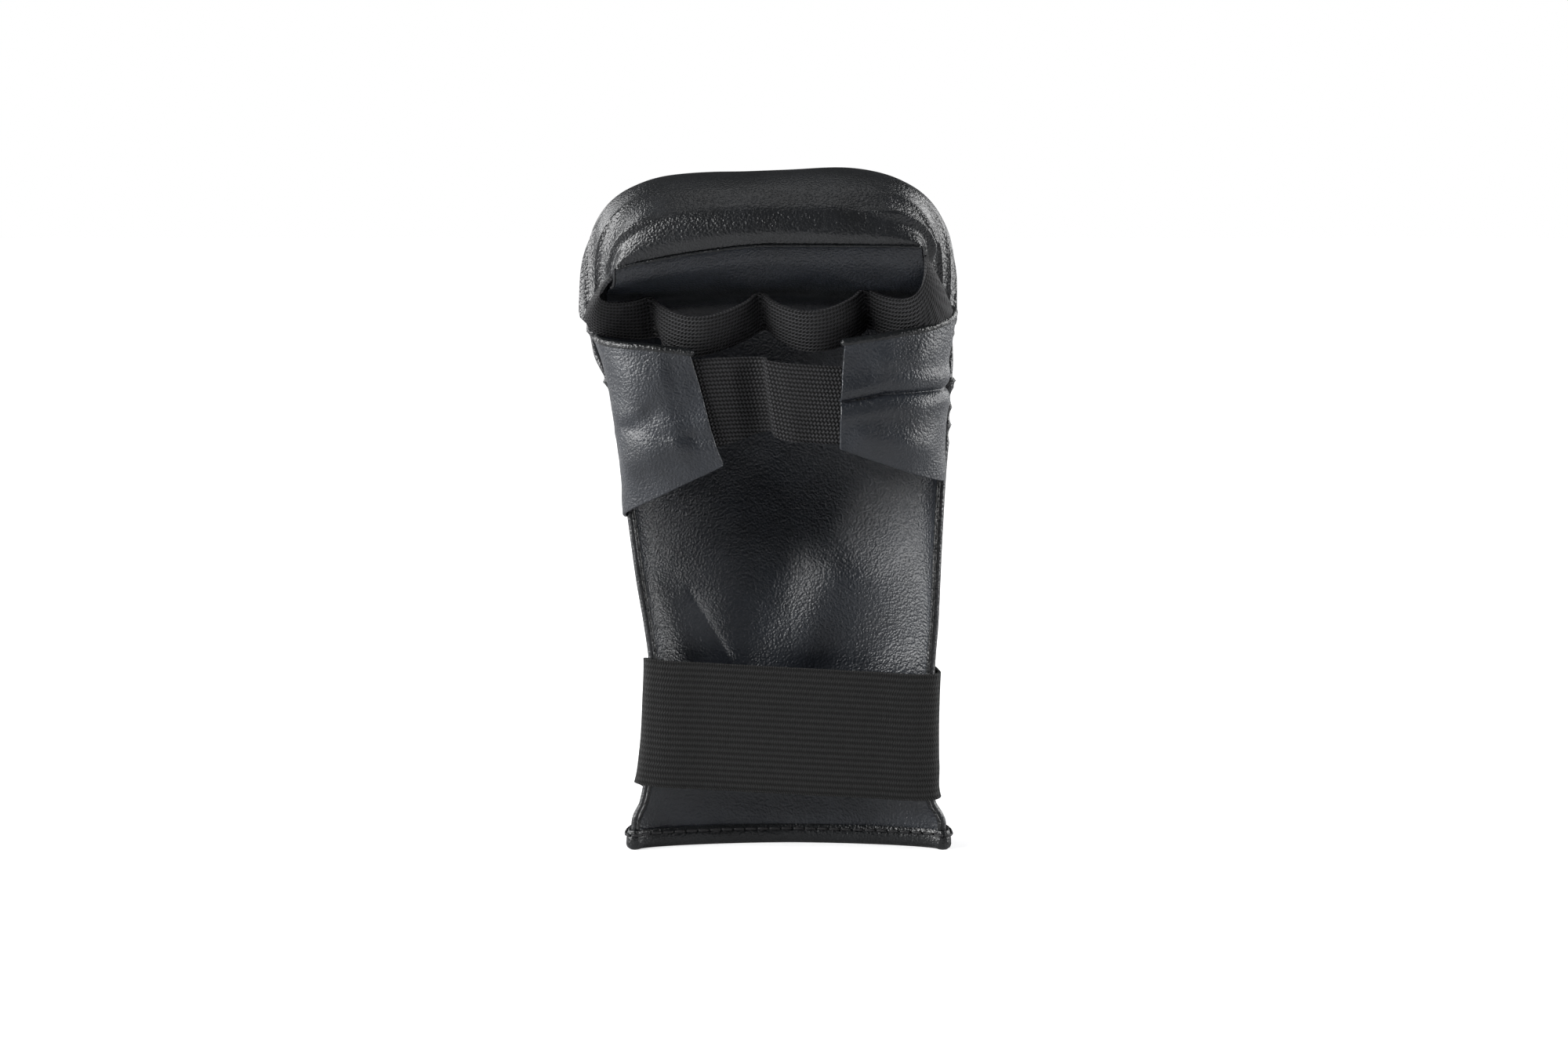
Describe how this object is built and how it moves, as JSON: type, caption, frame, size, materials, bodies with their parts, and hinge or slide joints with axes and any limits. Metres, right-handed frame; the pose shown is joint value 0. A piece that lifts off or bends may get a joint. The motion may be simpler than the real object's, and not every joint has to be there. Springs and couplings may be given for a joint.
{
  "type": "martial arts mitt",
  "caption": "Black padded striking mitt with an open palm, elastic finger loops, palm flaps joined by an elastic, and a wide elastic wrist strap.",
  "frame": {"origin": "On the hem's bottom face, where the mitt stands, below the middle of the pad at the cuff's mouth.", "axes": "+Z from the cuff to the fist, -Y towards the open palm, +Y towards the back of the hand, +X to the right when looking at the palm."},
  "size_m": [0.1277, 0.0903, 0.24],
  "materials": {
    "cover_leather": "satin",
    "lining_leather": "satin",
    "binding_leather": "satin",
    "elastic_knit": "matte",
    "thread": "matte",
    "hook_and_loop": "matte",
    "foam": "matte"
  },
  "bodies": {
    "cuff": {"cuff_foam": "foam", "cuff_cover": "cover_leather", "cuff_lining": "lining_leather", "cuff_left_seam": "binding_leather", "cuff_right_seam": "binding_leather", "hem_binding": "binding_leather", "hem_stitches": "thread", "wrist_strap": "elastic_knit", "strap_anchor_stitches": "thread", "loop_patch": "hook_and_loop"},
    "hand": {"hand_foam": "foam", "hand_cover": "cover_leather", "hand_lining": "lining_leather", "hand_left_seam": "binding_leather", "hand_right_seam": "binding_leather", "left_flap_outer": "cover_leather", "left_flap_lining": "lining_leather", "left_flap_edge": "binding_leather", "right_flap_outer": "cover_leather", "right_flap_lining": "lining_leather", "right_flap_edge": "binding_leather", "palm_elastic": "elastic_knit"},
    "fist": {"fist_foam": "foam", "fist_cover": "cover_leather", "fist_lining": "lining_leather", "tip_seam": "binding_leather", "finger_elastic": "elastic_knit", "finger_tacks": "thread"},
    "strap_end": {"strap_tab": "elastic_knit", "hook_patch": "hook_and_loop", "strap_end_fold": "elastic_knit"}
  },
  "joints": [
    {"name": "wrist_flex", "type": "hinge", "parent": "cuff", "child": "hand", "pos_m": [0, 0.006, 0.092], "axis": [1, 0, 0], "range_deg": [-15, 25], "stiffness_Nm_per_rad": 6},
    {"name": "knuckle_flex", "type": "hinge", "parent": "hand", "child": "fist", "pos_m": [0, 0.022, 0.186], "axis": [1, 0, 0], "range_deg": [-25, 0], "stiffness_Nm_per_rad": 4},
    {"name": "strap_peel", "type": "hinge", "parent": "cuff", "child": "strap_end", "pos_m": [-0.05395, -0.012, 0.041], "axis": [0.0306, 0, 0.9995], "range_deg": [0, 120]}
  ]
}
